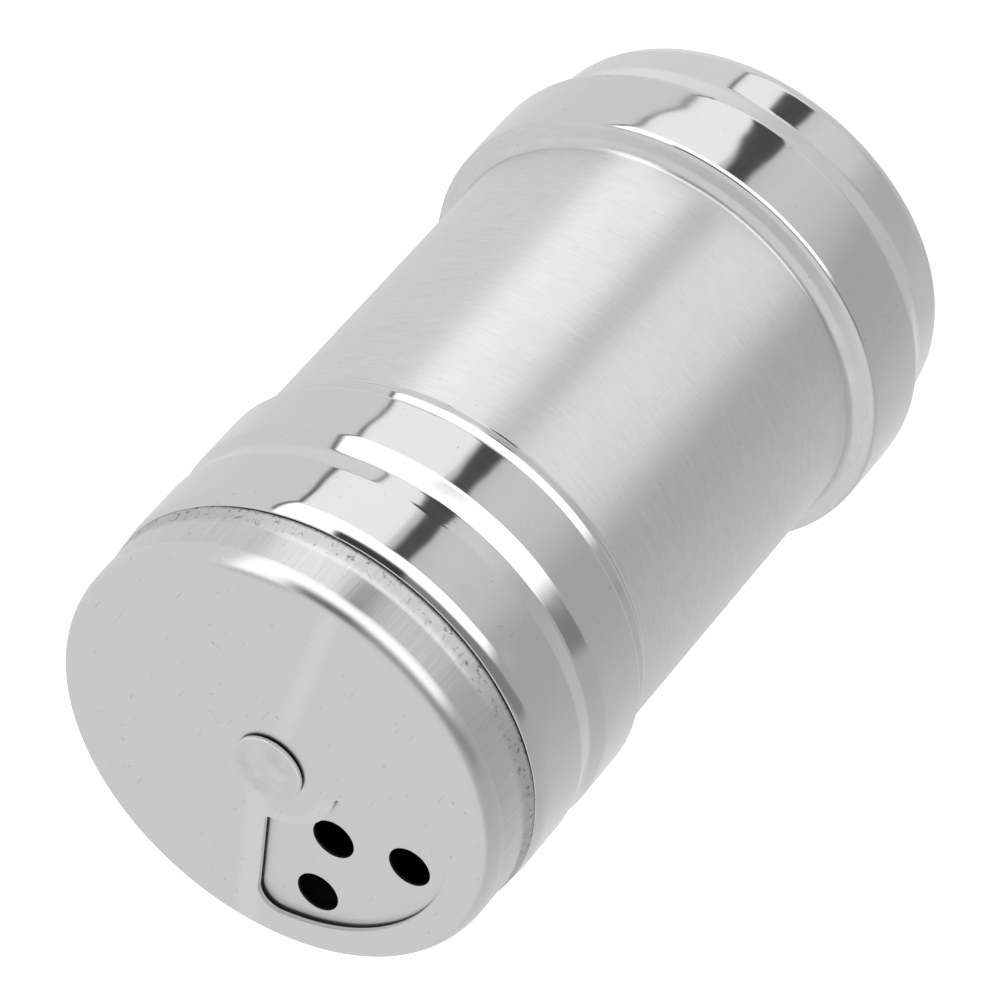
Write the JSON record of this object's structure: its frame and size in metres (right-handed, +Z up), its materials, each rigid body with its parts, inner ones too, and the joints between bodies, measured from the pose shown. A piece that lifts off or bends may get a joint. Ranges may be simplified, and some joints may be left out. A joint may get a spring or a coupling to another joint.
{
  "type": "spice shaker",
  "caption": "Upright steel spice shaker: a beaded can with a bulged foot and a pull-off lid whose riveted cap turns a window over shaker holes.",
  "frame": {"origin": "centre of the base, on the surface the jar stands on", "axes": "+Z up along the jar's axis; the window stored over the large holes faces -X, turned a little towards +Y"},
  "size_m": [0.049, 0.049, 0.0865],
  "materials": {
    "jar_steel": "polished bands, brushed waist",
    "lid_steel": "satin",
    "cap_steel": "satin",
    "rivet_steel": "polished",
    "washer_steel": "dull spring steel"
  },
  "bodies": {
    "jar": {"jar_body": "jar_steel"},
    "lid": {"inner_lid": "lid_steel", "centre_rivet": "rivet_steel", "spring_washer": "washer_steel"},
    "cap": {"rotary_cap": "cap_steel"}
  },
  "joints": [
    {"name": "lid_pull", "type": "slide", "parent": "jar", "child": "lid", "axis": [0, 0, 1], "range_m": [0, 0.03]},
    {"name": "cap_turn", "type": "hinge", "parent": "lid", "child": "cap", "pos_m": [0, 0, 0.085], "axis": [0, 0, 1], "continuous": true}
  ]
}
